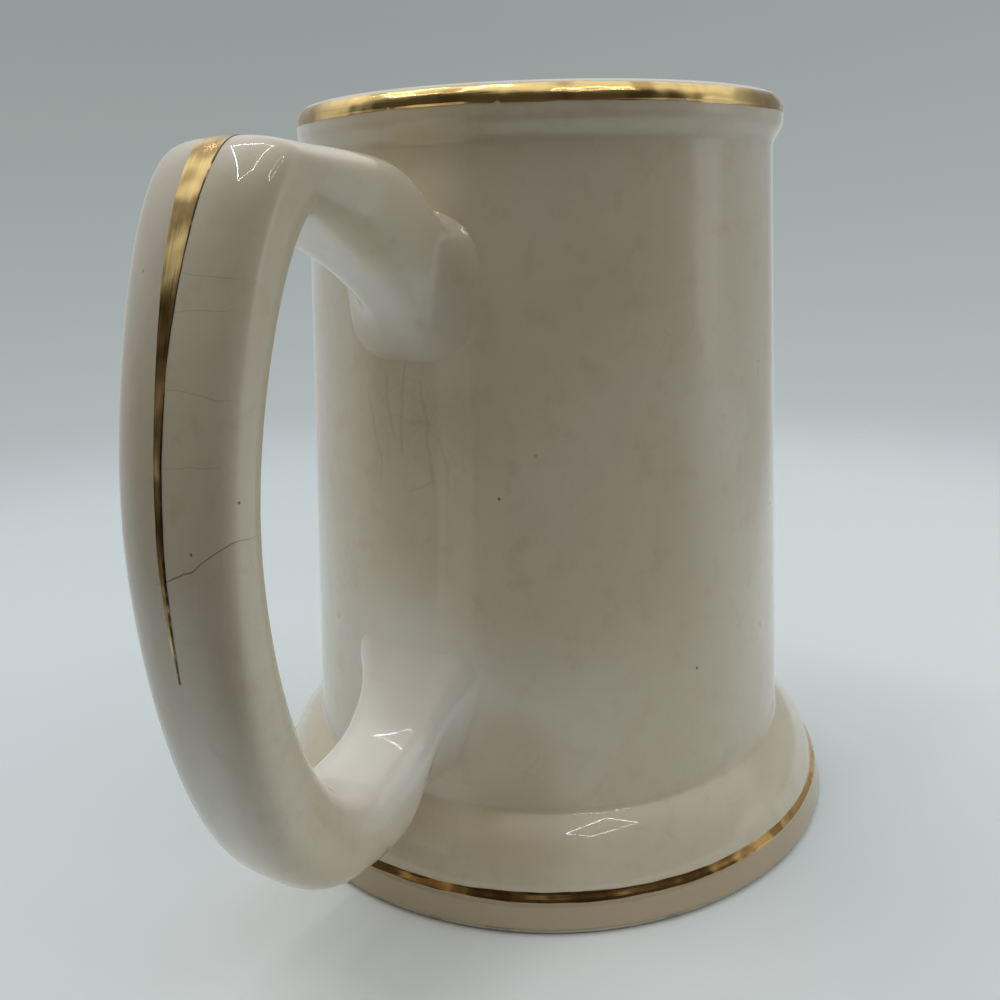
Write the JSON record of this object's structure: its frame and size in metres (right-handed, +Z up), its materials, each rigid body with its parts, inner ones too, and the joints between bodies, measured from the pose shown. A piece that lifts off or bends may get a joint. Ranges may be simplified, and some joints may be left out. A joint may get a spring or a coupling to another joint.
{
  "type": "shaving mug",
  "caption": "Glazed ceramic tankard-shaped shaving mug with a flared foot, a rolled lip and a D handle, for holding lather soap and a brush.",
  "frame": {"origin": "centre of the foot ring, on the plane that the mug stands on", "axes": "+Z up along the mug's axis; +X from the axis towards the handle; +Y to the left of someone who looks along +X"},
  "size_m": [0.1425, 0.1084, 0.1254],
  "materials": {
    "bisque": "fired earthenware, matt, bare only on the foot ring",
    "ivory_glaze": "warm ivory glossy glaze, finely crazed",
    "gold_lustre": "fired gold lustre, bright with brush streaks and light wear"
  },
  "bodies": {
    "root": {"mug_body": "bisque", "handle": "bisque", "upper_slip_joint": "bisque", "lower_slip_joint": "bisque", "outer_glaze": "ivory_glaze", "inner_glaze": "ivory_glaze", "underside_glaze": "ivory_glaze", "handle_glaze": "ivory_glaze", "rim_gilding": "gold_lustre", "foot_gilding": "gold_lustre", "handle_gilding": "gold_lustre"}
  },
  "joints": []
}
